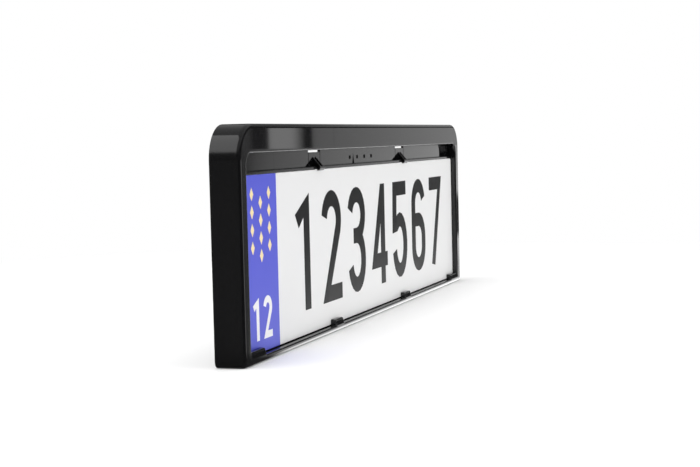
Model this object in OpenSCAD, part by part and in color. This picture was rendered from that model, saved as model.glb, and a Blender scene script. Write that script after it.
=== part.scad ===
// Number plate holder: a black moulded surround that clips a long road number plate
// into a pocket, under a deep hood, with an open ribbed back that screws to the vehicle.
// X runs along the width, the face looks along -Y, Z is up. Millimetres.
// The origin is at the middle of the foot, under the centre of the holder's box.

/* [Number plate] */
// Length of the plate
plate_w = 520; // [440:1:560]
// Height of the plate
plate_h = 112; // [108:0.5:118]
// Thickness of the plate's sheet
plate_t = 1; // [0.8:0.1:1.4]
// Corner radius of the plate
plate_r = 3; // [1:0.5:6]
// Free room beside each end of the plate
plate_side_gap = 1; // [0.5:0.1:2]
// Free room above the plate
plate_head_gap = 0.3; // [0.2:0.05:0.8]
// Free room in front of and behind the sheet
plate_face_gap = 0.2; // [0.1:0.05:0.4]

/* [Housing] */
// Depth from the front face to the back rim
holder_d = 20; // [17:0.5:26]
// Width of each upright beside the plate
side_w = 11; // [9:0.5:16]
// Height of the bottom rail that carries the plate
rail_h = 4; // [3.6:0.1:6]
// Height of the hood's front face
hood_h = 18; // [14:0.5:24]
// Height of the recess between the hood and the shelf
recess_h = 11.5; // [10:0.5:16]
// How far the plate's face lies behind the front face
plate_set = 4.8; // [4:0.1:6]
// How far the recess wall lies behind the front face
recess_set = 8.2; // [7.4:0.1:9.5]
// Wall of the moulding
wall = 2; // [1.6:0.1:2.4]
// Height of the shelf above the plate
shelf_t = 2; // [1.5:0.1:3]
// How far the shelf stands proud of the plate
shelf_proud = 0.3; // [0.1:0.05:0.8]

/* [Edges] */
// Radius of the top outer corners
top_r = 22; // [12:0.5:28]
// Radius of the bottom outer corners
foot_r = 4; // [3.5:0.1:8]
// Radius along the outer front edge
edge_r = 2.8; // [2:0.1:3.2]
// Radius of the window's top corners
window_r = 8.5; // [4:0.5:12]
// Radius along the window's front edge
lip_r = 1.2; // [0.4:0.1:1.4]
// Radius along the shelf's front edge
shelf_r = 0.5; // [0.2:0.1:0.7]

/* [Bottom clips] */
// Distance of each middle clip from the centre
clip_x = 90; // [50:1:130]
// Width of each middle clip
clip_w = 17; // [10:0.5:30]
// How far each end clip reaches over the plate
end_clip_w = 24; // [12:0.5:40]
// Height of the clips above the rail
clip_h = 4.4; // [3:0.1:6]
// Rounding of the clips' edges
clip_r = 1.2; // [0.5:0.1:1.6]
// How far the clips' fronts lean back towards their top
clip_lean = 1; // [0:0.1:1.2]
// Height of the pads that the plate stands on
pad_h = 0.8; // [0.4:0.1:1.5]
// Width of the pads
pad_w = 10; // [5:0.5:10]

/* [Top hooks] */
// Half the distance between the two hooks
hook_x = 107; // [80:1:140]
// How far the hooks and the small holes lie to the side of the centre
hook_shift = -8.5; // [-12:0.5:12]
// Width of each hook
hook_w = 10; // [7.5:0.5:16]
// How far each hook reaches in front of the plate
hook_reach = 2.8; // [2:0.1:3.6]
// How far each nose hangs over the plate
hook_bite = 0.6; // [0.3:0.1:1.5]
// Chamfer along the hooks' edges, so that the plate slides past
hook_ease = 0.55; // [0.3:0.05:0.6]
// Height of the opening in the wall behind each nose
hook_core_h = 4; // [2:0.5:8]
// Distance between the two ribs on a hook
rib_gap = 6; // [4:0.5:6.2]
// Thickness of those ribs
hook_rib_t = 1.2; // [0.8:0.1:1.6]
// Height of those ribs
hook_rib_h = 6.7; // [4:0.1:8]
// Width of the tongue that carries a hook
tongue_w = 25; // [18:0.5:34]
// Width of the slits beside a tongue
slit_w = 0.8; // [0.5:0.1:1.5]
// Height of the slot above a tongue
slot_h = 1.6; // [1.2:0.1:3]

/* [Small holes] */
// Height of the small oblong holes in the recess
wire_d = 2.6; // [1.5:0.1:4]
// Their length
wire_l = 4.8; // [4.2:0.1:8]
// Distance between them
wire_pitch = 18; // [10:0.5:24]
// Their height above the shelf
wire_rise = 4.9; // [3:0.1:7]

/* [Back] */
// Half the distance between the fixing holes along the width
fix_x = 150; // [140:1:190]
// Half the distance between the fixing holes in height
fix_z = 30; // [20:1:36]
// Diameter of the fixing holes
fix_d = 6.5; // [4.5:0.1:8]
// Diameter of the well for the screw head
fix_head_d = 13; // [10:0.5:15]
// Diameter of the fixing bosses
boss_d = 17; // [16:0.5:24]
// Wall left under the screw head
fix_floor = 5; // [3:0.5:8]
// Thickness of the stiffening ribs
rib_t = 1.6; // [1:0.1:2]
// Depth of the stiffening ribs
rib_d = 5; // [3:0.5:6]
// Number of upright ribs on the back
rib_count = 7; // [3:1:9]
// Number of ribs inside the hood
hood_rib_count = 8; // [2:1:12]

/* [Hidden] */
$fn = 64;
// Small overlap of faces that meet, and how far a cut runs past what it cuts
eps = 0.01;
cut = 1;
// How deep a wall or rib is sunk into the one that carries it
root = wall / 2;

// Half width of the pocket, and of the whole holder
pocket_x = plate_w / 2 + plate_side_gap;
half_w = pocket_x + side_w;
// Heights from the foot
plate_z = rail_h + pad_h;
plate_top = plate_z + plate_h;
shelf_z = plate_top + plate_head_gap;
recess_z = shelf_z + shelf_t;
soffit_z = recess_z + recess_h;
holder_h = soffit_z + hood_h;
wire_z = recess_z + wire_rise;
// Planes from the front face to the back rim
front_y = -holder_d / 2;
back_y = holder_d / 2;
plate_y = front_y + plate_set;
panel_y = plate_y + plate_t + plate_face_gap;
panel_back = panel_y + wall;
recess_y = front_y + recess_set;
recess_back = recess_y + wall;
shelf_y = plate_y - shelf_proud;
clip_back = plate_y - plate_face_gap;
hook_y = plate_y - hook_reach;
// Places of what repeats
hook_places = [hook_shift - hook_x, hook_shift + hook_x];
wire_places = [for (i = [0 : 3]) hook_shift + (i - 1.5) * wire_pitch];
plate_mid_z = plate_z + plate_h / 2;
fix_places = [for (x = [-fix_x, fix_x], z = [plate_mid_z - fix_z, plate_mid_z + fix_z]) [x, z]];

// A profile drawn in X and Z, carried from y0 back to y1
module along_y(y0, y1) {
    translate([0, y1, 0]) rotate([90, 0, 0]) linear_extrude(y1 - y0) children();
}

// A profile drawn in Y and Z, carried from x0 to x1
module along_x(x0, x1) {
    translate([x0, 0, 0]) rotate([90, 0, 90]) linear_extrude(x1 - x0) children();
}

// Outline of the holder seen from the front, drawn in by g on every side
module outline(g) {
    w = half_w - g;
    rt = top_r - g;
    rb = foot_r - g;
    z1 = holder_h - g;
    translate([-w, g + rb]) square([2 * w, z1 - rt - g - rb]);
    translate([-w + rb, g]) square([2 * (w - rb), z1 - rt - g]);
    translate([-w + rt, z1 - rt - eps]) square([2 * (w - rt), rt + eps]);
    for (s = [-1, 1]) {
        translate([s * (w - rt), z1 - rt]) circle(rt);
        translate([s * (w - rb), g + rb]) circle(rb);
    }
}

// Round bar along an outer corner of the outline, from its centre and radius
module corner_bar(x, z, r, turn) {
    translate([x, front_y + edge_r, z]) rotate([90, 0, 0]) rotate([0, 0, turn])
        rotate_extrude(angle = 90) intersection() {
            translate([r - edge_r, 0]) circle(edge_r);
            translate([0, -edge_r]) square([r, 2 * edge_r]);
        }
}

// Solid body of the holder with its rounded front edge
module pillow() {
    along_y(front_y + edge_r, back_y) outline(0);
    along_y(front_y, back_y) outline(edge_r);
    for (s = [-1, 1]) {
        translate([s * (half_w - edge_r), front_y + edge_r, foot_r])
            cylinder(r = edge_r, h = holder_h - top_r - foot_r);
        corner_bar(s * (half_w - top_r), holder_h - top_r, top_r, s > 0 ? 0 : 90);
        corner_bar(s * (half_w - foot_r), foot_r, foot_r, s > 0 ? 270 : 180);
    }
    translate([top_r - half_w, front_y + edge_r, holder_h - edge_r]) rotate([0, 90, 0])
        cylinder(r = edge_r, h = 2 * (half_w - top_r));
    translate([foot_r - half_w, front_y + edge_r, edge_r]) rotate([0, 90, 0])
        cylinder(r = edge_r, h = 2 * (half_w - foot_r));
}

// Outline of the window, grown by g at its sides and top, from height z0 up
module window(g, z0) {
    r = window_r + g;
    x = pocket_x + g;
    z1 = soffit_z + g;
    translate([-x, z0]) square([2 * x, z1 - r - z0]);
    translate([-x + r, z1 - r - eps]) square([2 * (x - r), r + eps]);
    for (s = [-1, 1]) translate([s * (x - r), z1 - r]) circle(r);
}

// Rounding along the window's front edge
module window_rounding() {
    r = lip_r;
    corner_z = soffit_z - window_r;
    for (s = [0, 1]) mirror([s, 0, 0]) {
        // Upright edge
        translate([-pocket_x, front_y, rail_h]) linear_extrude(corner_z - rail_h) difference() {
            translate([-r, -cut]) square([r, r + cut]);
            translate([-r, r]) circle(r);
        }
        // Top corner
        translate([-pocket_x + window_r, front_y, corner_z]) rotate([90, 0, 0]) rotate([0, 0, 90])
            rotate_extrude(angle = 90) difference() {
                translate([window_r, -r]) square([r, r + cut]);
                translate([window_r + r, -r]) circle(r);
            }
    }
    // Edge under the hood
    along_x(-pocket_x + window_r, pocket_x - window_r) difference() {
        translate([front_y - cut, soffit_z]) square([r + cut, r]);
        translate([front_y + r, soffit_z + r]) circle(r);
    }
    // Edge of the bottom rail
    along_x(-pocket_x, pocket_x) difference() {
        translate([front_y - cut, rail_h - r]) square([r + cut, r]);
        translate([front_y + r, rail_h - r]) circle(r);
    }
}

// Outer skin: front face and rim, hollow from the back
module skin() {
    difference() {
        pillow();
        along_y(front_y + wall, back_y + cut) outline(wall);
        along_y(front_y - cut, front_y + wall + cut) window(0, rail_h);
        window_rounding();
    }
}

// Walls of the pocket behind the window, the soffit and the bottom rail
module pocket() {
    along_y(front_y + wall, recess_back) difference() {
        window(wall, root);
        window(0, 0);
    }
    translate([-pocket_x - root, front_y + root, root])
        cube([2 * (pocket_x + root), panel_back - front_y - root, rail_h - root]);
}

// Wall behind the plate, the shelf above it and the wall of the recess
module back_walls() {
    x = pocket_x + root;
    r = shelf_r;
    translate([-x, panel_y, root]) cube([2 * x, wall, recess_z - root]);
    translate([-x, recess_y, shelf_z]) cube([2 * x, wall, soffit_z + root - shelf_z]);
    along_x(-x, x) {
        translate([shelf_y + r, shelf_z]) square([recess_back - shelf_y - r, shelf_t]);
        translate([shelf_y, shelf_z]) square([r + eps, shelf_t - r]);
        translate([shelf_y + r, recess_z - r]) circle(r);
    }
}

// Slot and slits that free the tongue behind a hook
module tongue_cut() {
    y = recess_y - eps;
    d = wall + 2 * eps;
    translate([-tongue_w / 2, y, soffit_z - slot_h]) cube([tongue_w, d, slot_h]);
    for (s = [0, 1]) mirror([s, 0, 0])
        translate([tongue_w / 2 - slit_w, y, recess_z]) cube([slit_w, d, recess_h]);
    // Opening in the wall behind the nose
    translate([-hook_w / 2, panel_y - eps, shelf_z - hook_core_h]) cube([hook_w, d, hook_core_h]);
}

// Hook over the plate's top edge, with its two ribs
module hook() {
    ease = hook_ease;
    along_x(-hook_w / 2, hook_w / 2) polygon([
        [recess_y + eps, recess_z], [hook_y + ease, recess_z], [hook_y, recess_z - ease],
        [hook_y, shelf_z + ease], [hook_y + 2 * ease, plate_top - hook_bite],
        [clip_back, plate_top - hook_bite], [clip_back, shelf_z], [recess_y + eps, shelf_z]]);
    for (s = [-1, 1])
        along_x(s * rib_gap / 2 - hook_rib_t / 2, s * rib_gap / 2 + hook_rib_t / 2) polygon([
            [recess_y + eps, recess_z - eps], [hook_y + ease, recess_z - eps],
            [recess_y + eps, recess_z + hook_rib_h]]);
}

// Clip in front of the plate's bottom edge, from x0 to x1, with a pad for the plate
module bottom_clip(x0, x1) {
    top = rail_h + clip_h;
    lean_y = front_y + clip_lean;
    intersection() {
        // Seen from the front, with round top corners
        along_y(front_y, clip_back) {
            translate([x0, rail_h - lip_r]) square([x1 - x0, clip_h + lip_r - clip_r]);
            translate([x0 + clip_r, rail_h]) square([x1 - x0 - 2 * clip_r, clip_h]);
            for (x = [x0 + clip_r, x1 - clip_r]) translate([x, top - clip_r]) circle(clip_r);
        }
        // Seen from the side, with a front that leans back to a round top edge
        along_x(x0, x1) {
            polygon([
                [front_y, rail_h - lip_r], [plate_y, rail_h - lip_r], [plate_y, top], [lean_y + clip_r, top],
                [lean_y + clip_r, top - clip_r], [lean_y, top - clip_r], [front_y, rail_h]]);
            translate([lean_y + clip_r, top - clip_r]) circle(clip_r);
        }
        // Seen from above, with round front corners
        translate([0, 0, rail_h - lip_r]) linear_extrude(clip_h + lip_r) {
            translate([x0, front_y + clip_r]) square([x1 - x0, plate_set]);
            translate([x0 + clip_r, front_y]) square([x1 - x0 - 2 * clip_r, plate_set]);
            for (x = [x0 + clip_r, x1 - clip_r]) translate([x, front_y + clip_r]) circle(clip_r);
        }
    }
}

// Pad under the plate, at x
module seat_pad(x) {
    translate([x - pad_w / 2, clip_back, rail_h - eps]) cube([pad_w, panel_y - clip_back + eps, pad_h + eps]);
}

// Opening in the wall behind a bottom clip, left by the mould's core
module core_window(x, w) {
    translate([x - w / 2, panel_y - eps, plate_z]) cube([w, wall + 2 * eps, clip_h]);
}

// Small oblong hole through the wall of the recess
module wire_hole() {
    reach = (wire_l - wire_d) / 2;
    along_y(recess_y - cut, recess_back + cut) {
        translate([-reach, -wire_d / 2]) square([2 * reach, wire_d]);
        for (s = [-1, 1]) translate([s * reach, 0]) circle(wire_d / 2);
    }
}

// Places of n ribs spread evenly over a length, with half a space at each end
function spread(length, n) = [for (i = [0 : n - 1]) length * ((i + 0.5) / n - 0.5)];

// Stiffening ribs on the back of the pocket wall and inside the hood
module back_ribs() {
    y = panel_back - eps;
    for (x = spread(2 * (pocket_x - wall), rib_count))
        translate([x - rib_t / 2, y, root]) cube([rib_t, rib_d + eps, recess_z - root]);
    for (z = [plate_mid_z - fix_z, plate_mid_z + fix_z])
        translate([-half_w + root, y, z - rib_t / 2]) cube([2 * (half_w - root), rib_d + eps, rib_t]);
    for (x = spread(2 * (half_w - top_r), hood_rib_count))
        translate([x - rib_t / 2, front_y + root, soffit_z + root])
            cube([rib_t, recess_set, hood_h - 2 * root]);
}

// Screw well through the wall and back to the rim
module fixing_boss() {
    translate([0, panel_back - eps, 0]) rotate([-90, 0, 0])
        cylinder(d = boss_d, h = back_y - panel_back + eps);
}

module fixing_bore() {
    translate([0, panel_y - cut, 0]) rotate([-90, 0, 0]) {
        cylinder(d = fix_d, h = back_y - panel_y + 2 * cut);
        cylinder(d = fix_head_d, h = back_y - panel_y + cut - fix_floor);
    }
}

module holder() {
    color([0.07, 0.07, 0.075]) difference() {
        union() {
            skin();
            pocket();
            back_walls();
            back_ribs();
            for (p = fix_places) translate([p[0], 0, p[1]]) fixing_boss();
            for (x = hook_places) translate([x, 0, 0]) hook();
            for (s = [-1, 1]) {
                bottom_clip(s * clip_x - clip_w / 2, s * clip_x + clip_w / 2);
                seat_pad(s * clip_x);
                seat_pad(s * (pocket_x - end_clip_w / 2));
            }
            bottom_clip(-pocket_x - clip_r, -plate_w / 2 + end_clip_w);
            bottom_clip(plate_w / 2 - end_clip_w, pocket_x + clip_r);
        }
        for (p = fix_places) translate([p[0], 0, p[1]]) fixing_bore();
        for (x = hook_places) translate([x, 0, 0]) tongue_cut();
        for (x = wire_places) translate([x, 0, wire_z]) wire_hole();
        for (s = [-1, 1]) core_window(s * clip_x, clip_w);
    }
}

module number_plate() {
    color([0.93, 0.94, 0.95]) along_y(plate_y, plate_y + plate_t) {
        x = plate_w / 2;
        translate([-x + plate_r, plate_z]) square([2 * (x - plate_r), plate_h]);
        translate([-x, plate_z + plate_r]) square([2 * x, plate_h - 2 * plate_r]);
        for (s = [-1, 1], z = [plate_z + plate_r, plate_top - plate_r])
            translate([s * (x - plate_r), z]) circle(plate_r);
    }
}

holder();
number_plate();
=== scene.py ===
"""A number plate holder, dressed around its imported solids.

One black moulding clips a long white plate into its pocket. The sections follow the object as it is put together:
the moulding, the plate's sheet, the coloured field at its end, the marks and number on that field, and the
characters. The studio comes last. Lengths are in metres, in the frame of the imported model.
"""

import math

import bpy
import numpy as np
from mathutils import Matrix, Vector


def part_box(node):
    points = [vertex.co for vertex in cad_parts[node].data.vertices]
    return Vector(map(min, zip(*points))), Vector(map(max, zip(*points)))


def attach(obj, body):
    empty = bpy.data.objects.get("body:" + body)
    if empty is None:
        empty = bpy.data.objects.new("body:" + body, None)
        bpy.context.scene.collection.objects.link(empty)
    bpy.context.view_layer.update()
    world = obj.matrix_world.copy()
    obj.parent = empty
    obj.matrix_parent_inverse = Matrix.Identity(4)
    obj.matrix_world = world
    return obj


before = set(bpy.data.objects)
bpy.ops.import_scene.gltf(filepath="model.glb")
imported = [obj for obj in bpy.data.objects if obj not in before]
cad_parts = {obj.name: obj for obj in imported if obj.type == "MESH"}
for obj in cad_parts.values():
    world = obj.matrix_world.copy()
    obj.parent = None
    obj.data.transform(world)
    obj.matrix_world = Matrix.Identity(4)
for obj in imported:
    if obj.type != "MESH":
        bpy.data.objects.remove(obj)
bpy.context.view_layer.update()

# The photograph's camera stands a metre to the left of the holder, a little in front of it, at the height of its
# top edge. Its place, turn and lens were fitted to the plate's edges. Angles are in degrees.
camera_place = Vector((-1.0743, -0.3435, 0.1382))
camera_yaw, camera_pitch, camera_roll = 71.732, -3.774, -1.346
camera_lens, camera_sensor = 74.28, 36.0


def camera_turn(yaw, pitch, roll):
    """Columns are the camera's right, up and back. Yaw turns from +Y towards +X, pitch lifts the view, and roll
    turns right towards up."""
    y, p, r = map(math.radians, (yaw, pitch, roll))
    ahead = Vector((math.sin(y) * math.cos(p), math.cos(y) * math.cos(p), math.sin(p)))
    level = Vector((math.cos(y), -math.sin(y), 0))
    above = level.cross(ahead)
    right = level * math.cos(r) + above * math.sin(r)
    up = above * math.cos(r) - level * math.sin(r)
    return Matrix((right, up, -ahead)).transposed().to_4x4()


camera_data = bpy.data.cameras.new("camera")
camera_data.sensor_width, camera_data.lens = camera_sensor, camera_lens
camera_data.clip_start, camera_data.clip_end = 0.05, 60.0
camera = bpy.data.objects.new("camera", camera_data)
camera.matrix_world = Matrix.Translation(camera_place) @ camera_turn(camera_yaw, camera_pitch, camera_roll)
bpy.context.collection.objects.link(camera)
bpy.context.scene.camera = camera

# The moulding is one piece of black plastic from a polished mould, with a finer spark-worn grain on the open back.
# Its front mirrors the plate and its own hooks; over thick spots the surface has sunk by a hair.


def material(name, colour, **values):
    """A Principled material with its colour and plain values set on the shader's own sockets."""
    made = bpy.data.materials.new(name)
    made.use_nodes = True
    shader = made.node_tree.nodes["Principled BSDF"]
    shader.inputs["Base Color"].default_value = (*colour, 1)
    for socket, value in values.items():
        shader.inputs[socket.replace("_", " ")].default_value = value
    return made, shader


def math_node(tree, operation, *values):
    """A Math node's result. Each value is a number or a socket."""
    node = tree.nodes.new("ShaderNodeMath")
    node.operation = operation
    for socket, value in zip(node.inputs, values):
        if isinstance(value, (int, float)):
            socket.default_value = value
        else:
            tree.links.new(value, socket)
    return node.outputs[0]


def step_up(tree, value, span, low=0.0, high=1.0):
    """Smooth step of a value, from low at the span's start to high at its end."""
    node = tree.nodes.new("ShaderNodeMapRange")
    node.interpolation_type = "SMOOTHSTEP"
    node.inputs["From Min"].default_value, node.inputs["From Max"].default_value = span
    node.inputs["To Min"].default_value, node.inputs["To Max"].default_value = low, high
    tree.links.new(value, node.inputs["Value"])
    return node.outputs["Result"]


patch_detail, grain_detail = 3.0, 2.0


def surface_group():
    """Node group: a vector in, and out come a roughness and a height, each from a cloud of noise of its own grain.
    The roughness swings by Swing to either side of Middle."""
    group = bpy.data.node_groups.new("surface_grain", "ShaderNodeTree")
    for socket, kind in (("Vector", "NodeSocketVector"), ("Patch size", "NodeSocketFloat"),
                         ("Grain size", "NodeSocketFloat"), ("Middle", "NodeSocketFloat"),
                         ("Swing", "NodeSocketFloat")):
        group.interface.new_socket(socket, in_out="INPUT", socket_type=kind)
    for socket in ("Roughness", "Height"):
        group.interface.new_socket(socket, in_out="OUTPUT", socket_type="NodeSocketFloat")
    entry, leave = group.nodes.new("NodeGroupInput"), group.nodes.new("NodeGroupOutput")

    def noise(size, detail):
        node = group.nodes.new("ShaderNodeTexNoise")
        node.inputs["Detail"].default_value = detail
        group.links.new(entry.outputs["Vector"], node.inputs["Vector"])
        group.links.new(math_node(group, "DIVIDE", 1.0, entry.outputs[size]), node.inputs["Scale"])
        return node.outputs["Fac"]

    low = math_node(group, "SUBTRACT", entry.outputs["Middle"], entry.outputs["Swing"])
    whole = math_node(group, "MULTIPLY", entry.outputs["Swing"], 2.0)
    swing = math_node(group, "MULTIPLY", noise("Patch size", patch_detail), whole)
    group.links.new(math_node(group, "ADD", low, swing), leave.inputs["Roughness"])
    group.links.new(noise("Grain size", grain_detail), leave.inputs["Height"])
    return group


def add_grain(made, shader, patch, grain, middle, swing, depth):
    """Places the grain group in a material. Depth is the height of the grain in metres."""
    tree = made.node_tree
    coordinates = tree.nodes.new("ShaderNodeTexCoord")
    group = tree.nodes.new("ShaderNodeGroup")
    group.node_tree = grain_group
    for socket, value in (("Patch size", patch), ("Grain size", grain), ("Middle", middle), ("Swing", swing)):
        group.inputs[socket].default_value = value
    bump = tree.nodes.new("ShaderNodeBump")
    bump.inputs["Distance"].default_value = depth
    tree.links.new(coordinates.outputs["Object"], group.inputs["Vector"])
    tree.links.new(group.outputs["Roughness"], shader.inputs["Roughness"])
    tree.links.new(group.outputs["Height"], bump.inputs["Height"])
    tree.links.new(bump.outputs["Normal"], shader.inputs["Normal"])
    return coordinates, group, bump


grain_group = surface_group()
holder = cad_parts["holder"]
black_plastic, black_shader = material("black_plastic_moulding", (0.005, 0.005, 0.0055), IOR=1.5)
coordinates, grain, bump = add_grain(black_plastic, black_shader, patch=0.03, grain=0.0025, middle=0.022,
                                     swing=0.008, depth=0.00003)
coarse_roughness, coarse_start, polished_share, side_share = 0.40, 0.3, 0.012, 0.6
# Over ribs and cores behind the front the surface has sunk along upright lines, at these places on the hood and in the
# recess below it.
hood_lines, recess_lines, hood_foot = (-0.0963, -0.0432, -0.0156, 0.1215), (-0.1949, 0.0379), 0.1306
line_half, line_depth = 0.0013, 0.25
edge_round, edge_samples = 0.0004, 6


def sunk_lines(tree, across, places):
    """Height of upright lines: one at each of the places, which falls to nothing at line_half to either side along
    a smooth step."""
    total = 0.0
    for x in places:
        away = math_node(tree, "ABSOLUTE", math_node(tree, "SUBTRACT", across, x))
        total = math_node(tree, "ADD", step_up(tree, away, (0, line_half), 1.0, 0.0), total)
    return total


def finish_moulding():
    """The front and the top are polished. Faces that look to the sides are coarser, and those that look back the
    most: the mask rises to 1 as the greater of the normal's Y and side_share of the size of its X goes from
    coarse_start to 1. It takes the roughness to the coarse one, and the grain from polished_share to its full
    height. The sunk lines are taken off the height, and the edges catch the light as if rounded by edge_round."""
    tree = black_plastic.node_tree
    nodes, links = tree.nodes, tree.links
    turned, spot, facing, share, blend = (
        nodes.new("ShaderNode" + n) for n in ("SeparateXYZ", "SeparateXYZ", "MapRange", "MapRange", "Mix"))
    links.new(coordinates.outputs["Normal"], turned.inputs[0])
    links.new(coordinates.outputs["Object"], spot.inputs[0])
    sideways = math_node(tree, "MULTIPLY", math_node(tree, "ABSOLUTE", turned.outputs["X"]), side_share)
    facing.inputs["From Min"].default_value = coarse_start
    links.new(math_node(tree, "MAXIMUM", sideways, turned.outputs["Y"]), facing.inputs["Value"])
    blend.inputs["B"].default_value = coarse_roughness
    links.new(facing.outputs["Result"], blend.inputs["Factor"])
    links.new(grain.outputs["Roughness"], blend.inputs["A"])
    links.new(blend.outputs["Result"], black_shader.inputs["Roughness"])
    share.inputs["To Min"].default_value = polished_share
    links.new(facing.outputs["Result"], share.inputs["Value"])
    rounded = nodes.new("ShaderNodeBevel")
    rounded.samples, rounded.inputs["Radius"].default_value = edge_samples, edge_round
    links.new(rounded.outputs["Normal"], bump.inputs["Normal"])
    on_hood = math_node(tree, "GREATER_THAN", spot.outputs["Z"], hood_foot)
    above = math_node(tree, "MULTIPLY", sunk_lines(tree, spot.outputs["X"], hood_lines), on_hood)
    below = math_node(tree, "MULTIPLY", sunk_lines(tree, spot.outputs["X"], recess_lines),
                      math_node(tree, "SUBTRACT", 1.0, on_hood))
    lines = math_node(tree, "MULTIPLY", math_node(tree, "ADD", above, below), line_depth)
    height = math_node(tree, "MULTIPLY", grain.outputs["Height"], share.outputs["Result"])
    links.new(math_node(tree, "SUBTRACT", height, lines), bump.inputs["Height"])


finish_moulding()
holder.data.materials[0] = black_plastic

# A small upright rib stands on the wall of the recess between the first two of its four holes. It is part of the
# moulding and runs out to nothing at its top.
recess_wall, shelf_top = -0.0018, 0.1191
rib_x, rib_half, rib_h, rib_proud = -0.0272, 0.0005, 0.0078, 0.0008
rib_fade, sunk = 0.95, 0.00005


def add_piece(name, points, faces, piece_material, slot):
    """Puts points and faces into a mesh of its own, which rides on the holder."""
    mesh = bpy.data.meshes.new(name)
    mesh.from_pydata(points.tolist(), [], faces)
    mesh.materials.append(piece_material)
    piece = bpy.data.objects.new(name, mesh)
    bpy.context.collection.objects.link(piece)
    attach(piece, "root")
    return piece


def recess_rib(steps_round=9, steps_up=7):
    """At each height the section is half an ellipse on the wall. Its depth falls in a straight line from rib_proud
    at the shelf, by the share rib_fade of it, to what is left at the top. The foot and back are sunk a hair in."""
    turn, rise = np.meshgrid(np.linspace(0, math.pi, steps_round), np.linspace(0, 1, steps_up))
    depth = rib_proud * (1 - rib_fade * rise)
    points = np.column_stack([(rib_x - rib_half * np.cos(turn)).ravel(),
                              (recess_wall + sunk - (depth + sunk) * np.sin(turn)).ravel(),
                              (shelf_top - sunk + rib_h * rise).ravel()])
    index = np.arange(points.shape[0]).reshape(steps_up, steps_round)
    a, b, c, d = index[:-1, :-1], index[:-1, 1:], index[1:, 1:], index[1:, :-1]
    skin = np.stack([a, b, c, d], -1).reshape(-1, 4)
    back = np.column_stack([index[:-1, -1], index[:-1, 0], index[1:, 0], index[1:, -1]])
    return points, skin.tolist() + back.tolist() + [index[0, ::-1].tolist(), index[-1].tolist()]


add_piece("recess_rib", *recess_rib(), black_plastic, "black_plastic")

# The plate is a sheet of aluminium under white reflective film, cut with round corners and held by the clips.
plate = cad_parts["number_plate"]
plate_low, plate_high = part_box("number_plate")
plate_face = plate_low[1]
white_film, white_shader = material("white_reflective_film", (0.83, 0.83, 0.83), IOR=1.45)
add_grain(white_film, white_shader, patch=0.02, grain=0.0012, middle=0.45, swing=0.05, depth=4e-6)
plate.data.materials[0] = white_film

# The coloured field is a blue film at the plate's left end, cut to the sheet's own round corners.
field_w = 0.0597
film_t = 0.00006
corner_r = 0.003


def slab(name, outline, back, front, piece_material, slot):
    """A flat piece: the outline, points in X and Z that run anticlockwise as seen from the front, is the rim of
    a front and a back face, with a quad between them along each of its sides."""
    n = len(outline)
    depth = np.repeat([front, back], n)
    points = np.column_stack([np.tile(outline[:, 0], 2), depth, np.tile(outline[:, 1], 2)])
    here = np.arange(n)
    after = (here + 1) % n
    sides = np.column_stack([here, here + n, after + n, after])
    faces = [here.tolist(), (here[::-1] + n).tolist()] + sides.tolist()
    return add_piece(name, points, faces, piece_material, slot)


def round_corner(x, z, radius, first, steps=10):
    """Quarter of a circle about x and z, from the angle first, anticlockwise."""
    angle = np.radians(first + np.linspace(0, 90, steps))
    return np.column_stack([x + radius * np.cos(angle), z + radius * np.sin(angle)])


left, right = plate_low[0], plate_low[0] + field_w
foot, head = plate_low[2], plate_high[2]
field_outline = np.vstack([
    [[right, foot], [right, head]],
    round_corner(left + corner_r, head - corner_r, corner_r, 90),
    round_corner(left + corner_r, foot + corner_r, corner_r, 180),
])
blue_film, blue_shader = material("blue_reflective_film", (0.090, 0.106, 0.66), IOR=1.45)
add_grain(blue_film, blue_shader, patch=0.02, grain=0.0012, middle=0.42, swing=0.05, depth=4e-6)
field_front = plate_face - film_t
slab("blue_field", field_outline, plate_face, field_front, blue_film, "field_film")

# Three columns of small lozenges are printed on the field in pale gold, the middle one set half a step lower.
lozenge_w, lozenge_h = 0.0062, 0.0086
lozenge_x, lozenge_z = -0.2285, 0.0880
lozenge_pitch_x, lozenge_pitch_z = 0.0145, 0.0112
print_t = 0.00005
pale_gold, gold_shader = material("pale_gold_print", (0.94, 0.77, 0.44), IOR=1.45)
add_grain(pale_gold, gold_shader, patch=0.004, grain=0.0006, middle=0.5, swing=0.06, depth=3e-6)
quarter = np.radians([0, 90, 180, 270])
lozenge = np.column_stack([lozenge_w / 2 * np.cos(quarter), lozenge_h / 2 * np.sin(quarter)])
for column in (-1, 0, 1):
    for row in range(4):
        middle = [lozenge_x + column * lozenge_pitch_x,
                  lozenge_z - (row - 1.5 + (column == 0) / 2) * lozenge_pitch_z]
        slab(f"lozenge_{column + 2}_{row + 1}", lozenge + middle, field_front, field_front - print_t,
             pale_gold, "pale_print")

# A plain two-figure number is printed in white at the foot of the field. Each figure is a bar of even width,
# carried along the middle of its stroke.


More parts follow.
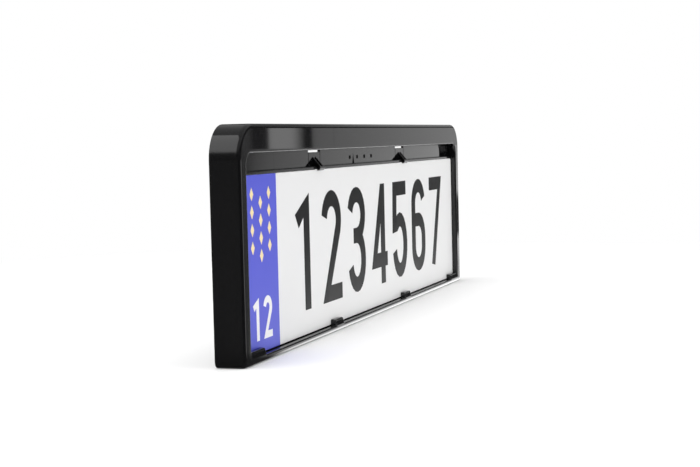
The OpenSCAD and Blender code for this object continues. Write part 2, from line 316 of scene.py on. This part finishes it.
def bar(path, width, back, front, cell):
    """Flat bar along a path in X and Z: its edges are the path moved to both sides by half the width along the
    mitre, which is the sum of the two neighbouring side directions over one plus their dot product. Edges
    that leave the cell, given as its low and high corner, are brought back to it."""
    step = np.diff(path, axis=0)
    step /= np.linalg.norm(step, axis=1)[:, None]
    side = np.column_stack([-step[:, 1], step[:, 0]])
    before, after = np.vstack([side[:1], side]), np.vstack([side, side[-1:]])
    mitre = (before + after) / (1 + (before * after).sum(1))[:, None]
    edges = np.stack([path + mitre * width / 2, path - mitre * width / 2])
    edges = np.clip(edges, cell[0], cell[1])
    n = len(path)
    points = np.concatenate([np.column_stack([e[:, 0], np.full(n, y), e[:, 1]])
                             for y in (front, back) for e in edges])
    a = np.arange(n - 1)
    b = a + 1
    rings = [(a, a + n, b + n, b), (a + 2 * n, b + 2 * n, b + 3 * n, a + 3 * n),
             (a, b, b + 2 * n, a + 2 * n), (a + n, a + 3 * n, b + 3 * n, b + n)]
    faces = np.concatenate([np.column_stack(r) for r in rings])
    ends = np.array([[0, 2 * n, 3 * n, n], [n - 1, 2 * n - 1, 4 * n - 1, 3 * n - 1]])
    return points, np.vstack([faces, ends])


def arc(x, z, rx, rz, first, last, steps=18):
    """Part of an ellipse about x and z, from the angle first to the angle last, in degrees."""
    angle = np.radians(np.linspace(first, last, steps))
    return np.column_stack([x + rx * np.cos(angle), z + rz * np.sin(angle)])


def figure_paths(figure, w, h, s):
    """Strokes of a figure in a cell w wide and h high with a stroke s wide. Each is the middle line of a bar, and the
    numbers are shares of w, h, s or half of s."""
    m = s / 2
    x0, x1, z0, z1, r = m, w - m, m, h - m, w / 2 - m
    mid, bowl, waist = w / 2, 0.36 * h, 0.54 * h
    line = np.array
    if figure == 1:
        x = w / 2 + m
        return [line([[x - 0.44 * w, 0.77 * h], [x, h - 0.4 * s], [x, 0]])]
    if figure == 2:
        return [np.vstack([arc(mid, h - m - r, r, r, 170, -28), [[x0 + m * 0.35, z0]], [[w, z0]]])]
    if figure == 3:
        return [np.vstack([arc(mid, (z1 + waist) / 2, r, (z1 - waist) / 2, 165, -90), [[0.32 * w, waist]]]),
                arc(mid, (z0 + waist) / 2, r, (waist - z0) / 2, 90, -165)]
    if figure == 4:
        beam, stem = 0.24 * h, 0.72 * w
        return [line([[stem, h], [x0 + m * 0.2, beam], [w, beam]]),
                line([[stem, beam - m], [stem, 0]]), line([[stem, beam + m], [stem, h]])]
    if figure == 5:
        return [np.vstack([[[w - m * 0.4, z1]], [[x0 + m * 0.3, z1]], [[x0, 0.55 * h]],
                           arc(mid, bowl - m * 0.3, r, bowl - m * 1.3, 125, -168)])]
    if figure == 6:
        ring = 0.56 * h
        return [np.vstack([arc(mid, z1 - r, r, r, 15, 180), arc(mid, z0 + r, r, r, 180, 360),
                           arc(mid, ring - r, r, r, 0, 90), [[s, ring]]])]
    return [line([[0, z1], [x1, z1], [0.28 * w, 0]])]


def figure(name, number, low, w, h, stroke, back, front, piece_material, slot):
    """A printed figure whose cell has its low corner at low, as one mesh of its bars."""
    points, faces, count = [], [], 0
    for layer, path in enumerate(figure_paths(number, w, h, stroke)):
        p, f = bar(path, stroke, back, front + layer * bar_step, ((0, 0), (w, h)))
        points.append(p + [low[0], 0, low[1]])
        faces.append(f + count)
        count += len(p)
    return add_piece(name, np.concatenate(points), np.concatenate(faces).tolist(), piece_material, slot)


small_w, small_h, small_stroke, small_step = 0.0150, 0.0270, 0.0045, 0.0195
small_x, small_z = -0.2475, 0.0125
bar_step = 0.000005  # how much lower each further bar of one figure lies
white_print, print_shader = material("white_print", (0.90, 0.90, 0.90), IOR=1.45)
add_grain(white_print, print_shader, patch=0.006, grain=0.0008, middle=0.45, swing=0.05, depth=3e-6)
for number in (1, 2):
    figure(f"small_figure_{number}", number, (small_x + (number - 1) * small_step, small_z), small_w, small_h,
           small_stroke, field_front, field_front - print_t, white_print, "pale_print")

# Seven plain figures run along the plate, pressed on in dark grey foil. They stand a hair proud of the film.
figure_w, figure_h, figure_stroke = 0.0430, 0.0800, 0.0116
figures_start, figures_end, figures_foot = -0.1716, 0.2221, 0.0213
foil_t = 0.00012
dark_foil, foil_shader = material("dark_foil", (0.005, 0.005, 0.0055), IOR=1.22)
add_grain(dark_foil, foil_shader, patch=0.012, grain=0.001, middle=0.4, swing=0.06, depth=5e-6)
figure_count = 7
figure_step = (figures_end - figures_start - figure_w) / (figure_count - 1)
for number in range(1, figure_count + 1):
    figure(f"figure_{number}", number, (figures_start + (number - 1) * figure_step, figures_foot), figure_w,
           figure_h, figure_stroke, plate_face, plate_face - foil_t, dark_foil, "dark_print")

# The studio is white paper for the camera. The black moulding mirrors a dark room with a lit sweep on the right,
# a bright panel that hangs in front of the sweep, and a dark gap beside the panel. The floor glows for gloss alone
# with painted reflections: bright tones that paint highlights on the moulding, painted shade close to the holder's
# left end, and a painted dark patch in front of the holder where no card lies. A low lit panel stands further off.
floor_half = 20.0
white_span = (0.40, 0.75)
# Tones that gloss sees on the floor and in the room above it, by the angle from +X in degrees. Those of the floor are
# painted reflections that only gloss sees. They are read round the front corner of the holder's left end, and close
# to it they give way to painted shade.
floor_painted_reflection_tones = ((0.3, 2.5), (0.9, 1.2), (3.1, 1.05), (6.5, 1.7), (11.5, 1.4), (14.0, 0.85), (21.5, 0.42),
               (22.2, 0.15), (27.0, 0.07), (29.5, 0.9), (50.0, 0.9), (56.0, 0.03), (130.0, 0.02), (157.0, 0.14))
room_tones = ((13.0, 0.66), (19.4, 0.44), (19.62, 0.42), (19.72, 0.03), (19.95, 0.03), (20.35, 0.72), (20.5, 0.88),
              (21.35, 0.95), (21.44, 0.05), (22.0, 0.05), (22.2, 0.18), (24.0, 0.16), (30.0, 0.08))
left_end = (-0.266, -0.010, 0)
# Painted shade that gloss alone sees: near the holder's left end the floor shows this dark tone, which gives way to
# the painted reflection tones between these distances.
painted_dark_end_span, painted_dark_end_tone = (0.034, 0.080), 0.06
# A painted dark patch that gloss alone sees on the floor in front of the holder, where no card lies: its near and far
# distances, its edge as a slope of Y over X, and its tone.
painted_patch_near, painted_patch_far, painted_patch_slope, painted_patch_tone = (0.13, 0.18), (0.40, 0.60), (0.36, 0.385), 0.08
# In the room, heights are the Z of the direction that the gloss looks in. The room's tones give way to those of the
# ceiling, which grow lighter upwards.
ceiling_start, ceiling_span, ceiling_low, ceiling_high = (0.012, 0.04), (0.28, 0.50), 0.04, 0.40
panel_foot, panel_head, panel_slope, panel_tone = (0.10, 0.16), (0.28, 0.34), (0.22, 0.28), 0.45
least_x = 0.001  # keeps the slopes finite


def tones(tree, vector, table):
    """Brightness at a place or in a direction, read from a table by its angle from +X, which is the arc tangent of
    the size of its Y over its X."""
    nodes, links = tree.nodes, tree.links
    split, side, turn, span, ramp = (
        nodes.new("ShaderNode" + n) for n in ("SeparateXYZ", "Math", "Math", "MapRange", "ValToRGB"))
    side.operation, turn.operation = "ABSOLUTE", "ARCTAN2"
    first, last = table[0][0], table[-1][0]
    span.inputs["From Min"].default_value = math.radians(first)
    span.inputs["From Max"].default_value = math.radians(last)
    stops = ramp.color_ramp.elements
    stops.remove(stops[1])
    for number, (angle, tone) in enumerate(table):
        stop = stops.new((angle - first) / (last - first)) if number else stops[0]
        stop.color = (tone, tone, tone, 1)
    links.new(vector, split.inputs[0])
    links.new(split.outputs["Y"], side.inputs[0])
    links.new(side.outputs[0], turn.inputs[0])
    links.new(split.outputs["X"], turn.inputs[1])
    links.new(turn.outputs[0], span.inputs["Value"])
    links.new(span.outputs["Result"], ramp.inputs["Fac"])
    return ramp.outputs["Color"]


def laid_over(tree, tone, share, under):
    """The tone where the share is 1, what lies under it where the share is 0, and a mix of both between."""
    node = tree.nodes.new("ShaderNodeMix")
    node.data_type = "RGBA"
    node.inputs["B"].default_value = (tone, tone, tone, 1)
    tree.links.new(share, node.inputs["Factor"])
    tree.links.new(under, node.inputs["A"])
    return node.outputs["Result"]


def white_rays(tree, tone):
    """White for rays from the camera and through glass, and the tone for all others. It also gives the share of
    those white rays, and the share of rays that gloss sends."""
    rays, shown = tree.nodes.new("ShaderNodeLightPath"), tree.nodes.new("ShaderNodeMix")
    white = math_node(tree, "MAXIMUM", rays.outputs["Is Camera Ray"], rays.outputs["Is Transmission Ray"])
    shown.inputs["B"].default_value = 1.0
    tree.links.new(white, shown.inputs["Factor"])
    tree.links.new(tone, shown.inputs["A"])
    return shown.outputs["Result"], white, rays.outputs["Is Glossy Ray"]


def painted_dark_patch(tree, vector):
    """Share of a painted dark patch on the floor in front of the holder, for gloss only, in place of a dark card that
    is not there. It fills the strip between the patch's near and far distances from the holder, up to the slope of
    Y over X, read from the holder's left end."""
    split = tree.nodes.new("ShaderNodeSeparateXYZ")
    tree.links.new(vector, split.inputs[0])
    away = math_node(tree, "MULTIPLY", split.outputs["Y"], -1.0)
    strip = math_node(tree, "SUBTRACT", step_up(tree, away, painted_patch_near), step_up(tree, away, painted_patch_far))
    slope = math_node(tree, "DIVIDE", away, math_node(tree, "MAXIMUM", split.outputs["X"], least_x))
    return math_node(tree, "MULTIPLY", strip, step_up(tree, slope, painted_patch_slope, 1.0, 0.0))


def floor_material():
    """Matt white paper, on which the holder's shadow falls. Over the distances of white_span it turns, for the
    camera, into the even white of the background. Gloss sees instead a glow of painted reflection tones, with painted
    shade near the holder's left end and a painted dark patch in front of it."""
    made, shader = material("white_sweep_painted_reflections", (0.9, 0.9, 0.9), Roughness=0.9)
    tree = made.node_tree
    nodes, links = tree.nodes, tree.links
    coordinates, around, from_end, length = (
        nodes.new("ShaderNode" + n) for n in ("TexCoord", "VectorMath", "VectorMath", "VectorMath"))
    from_end.operation = length.operation = "LENGTH"
    around.operation, around.inputs[1].default_value = "SUBTRACT", left_end
    links.new(coordinates.outputs["Object"], around.inputs[0])
    links.new(coordinates.outputs["Object"], length.inputs[0])
    links.new(around.outputs["Vector"], from_end.inputs[0])
    # Painted shade near the holder's left end is laid over the painted reflection tones, then the painted dark patch
    # over both.
    seen = laid_over(tree, painted_dark_end_tone, step_up(tree, from_end.outputs["Value"], painted_dark_end_span, 1.0, 0.0),
                     tones(tree, around.outputs["Vector"], floor_painted_reflection_tones))
    seen = laid_over(tree, painted_patch_tone, painted_dark_patch(tree, around.outputs["Vector"]), seen)
    shown, white, glossy = white_rays(tree, seen)
    far = math_node(tree, "MULTIPLY", step_up(tree, length.outputs["Value"], white_span), white)
    glow, mix = nodes.new("ShaderNodeEmission"), nodes.new("ShaderNodeMixShader")
    links.new(shown, glow.inputs["Color"])
    links.new(math_node(tree, "MAXIMUM", far, glossy), mix.inputs["Fac"])
    links.new(shader.outputs[0], mix.inputs[1])
    links.new(glow.outputs[0], mix.inputs[2])
    links.new(mix.outputs[0], nodes["Material Output"].inputs["Surface"])
    return made


corners = np.array([[-1, -1, 0], [1, -1, 0], [1, 1, 0], [-1, 1, 0]]) * floor_half
floor_mesh = bpy.data.meshes.new("floor")
floor_mesh.from_pydata(corners.tolist(), [], [[0, 1, 2, 3]])
floor_mesh.materials.append(floor_material())
floor = bpy.data.objects.new("floor", floor_mesh)
bpy.context.collection.objects.link(floor)

world = bpy.data.worlds.new("studio")
bpy.context.scene.world = world
world.use_nodes = True


def finish_room():
    """The room is white for the camera. For gloss it has its tones by the angle near the floor and grows lighter
    towards the ceiling, and a low panel stands between panel_foot and panel_head, up to the slope of Y over X."""
    tree = world.node_tree
    ways, split, blend = (tree.nodes.new("ShaderNode" + n) for n in ("TexCoord", "SeparateXYZ", "Mix"))
    tree.links.new(ways.outputs["Generated"], split.inputs[0])
    height = split.outputs["Z"]
    tree.links.new(step_up(tree, height, ceiling_start), blend.inputs["Factor"])
    tree.links.new(tones(tree, ways.outputs["Generated"], room_tones), blend.inputs["A"])
    tree.links.new(step_up(tree, height, ceiling_span, ceiling_low, ceiling_high), blend.inputs["B"])
    high = math_node(tree, "SUBTRACT", step_up(tree, height, panel_foot), step_up(tree, height, panel_head))
    slope = math_node(tree, "DIVIDE", math_node(tree, "ABSOLUTE", split.outputs["Y"]),
                      math_node(tree, "MAXIMUM", split.outputs["X"], least_x))
    panel = math_node(tree, "MULTIPLY", high, step_up(tree, slope, panel_slope, 1.0, 0.0))
    seen = laid_over(tree, panel_tone, panel, blend.outputs["Result"])
    tree.links.new(white_rays(tree, seen)[0], tree.nodes["Background"].inputs["Color"])


finish_room()


def soft_box(name, place, aim, size, watts, mirrored):
    """A rectangular lamp at place that faces aim. The camera doesn't see it, and gloss only where it is mirrored."""
    data = bpy.data.lights.new(name, "AREA")
    data.shape, data.size, data.size_y, data.energy = "RECTANGLE", *size, watts
    lamp = bpy.data.objects.new(name, data)
    lamp.location = place
    lamp.rotation_euler = (Vector(aim) - Vector(place)).to_track_quat("-Z", "Y").to_euler()
    lamp.visible_camera, lamp.visible_glossy = False, mirrored
    bpy.context.collection.objects.link(lamp)


foot_middle, plate_middle = (0, 0, 0), (0.05, 0, 0.07)
large_box, small_box = (2.2, 2.0), (1.8, 1.0)
key_place, top_place, front_place = (-1.33, 0.63, 1.63), (0.1, 0.15, 1.6), (0.3, -2.0, 0.8)
key_watts, top_watts, front_watts = 22.0, 28.0, 19.5
soft_box("key_box", key_place, foot_middle, large_box, key_watts, True)
soft_box("top_fill", top_place, foot_middle, large_box, top_watts, False)
soft_box("front_fill", front_place, plate_middle, small_box, front_watts, False)

bpy.context.scene.view_settings.view_transform = "Standard"
